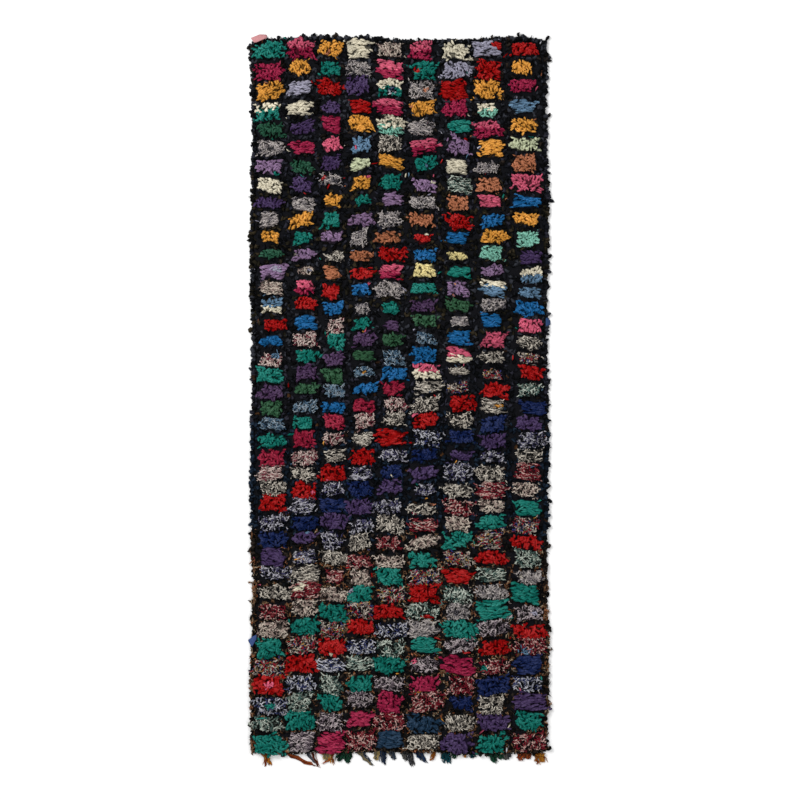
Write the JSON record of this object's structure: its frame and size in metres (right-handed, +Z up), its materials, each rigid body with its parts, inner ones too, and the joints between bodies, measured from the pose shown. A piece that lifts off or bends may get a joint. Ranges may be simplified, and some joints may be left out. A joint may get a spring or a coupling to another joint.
{
  "type": "wool shag rug",
  "caption": "Flat shaggy runner rug of wool and rag yarn: a check of coloured pile tufts on a near-black pile ground, locks round its rim and a sparse loose fringe at one end.",
  "frame": {"origin": "centre of the bounding box at the underside, on the floor", "axes": "+Y along the rug towards the end with no fringe, +X across it, +Z up out of the pile"},
  "size_m": [1.0104, 2.4318, 0.0315],
  "materials": {
    "pile": "deep matt wool and rag pile, mixed colours on near-black",
    "fringe": "frayed wool and cotton rag, mixed rust, tan, navy and green",
    "pink_rag": "soft matt cotton rag, pink",
    "blue_rag": "soft matt cotton rag, blue"
  },
  "bodies": {
    "root": {"pile_rug": "pile", "fringe_strip": "fringe", "corner_rag": "pink_rag", "left_rag": "blue_rag", "right_rag": "blue_rag"}
  },
  "joints": []
}
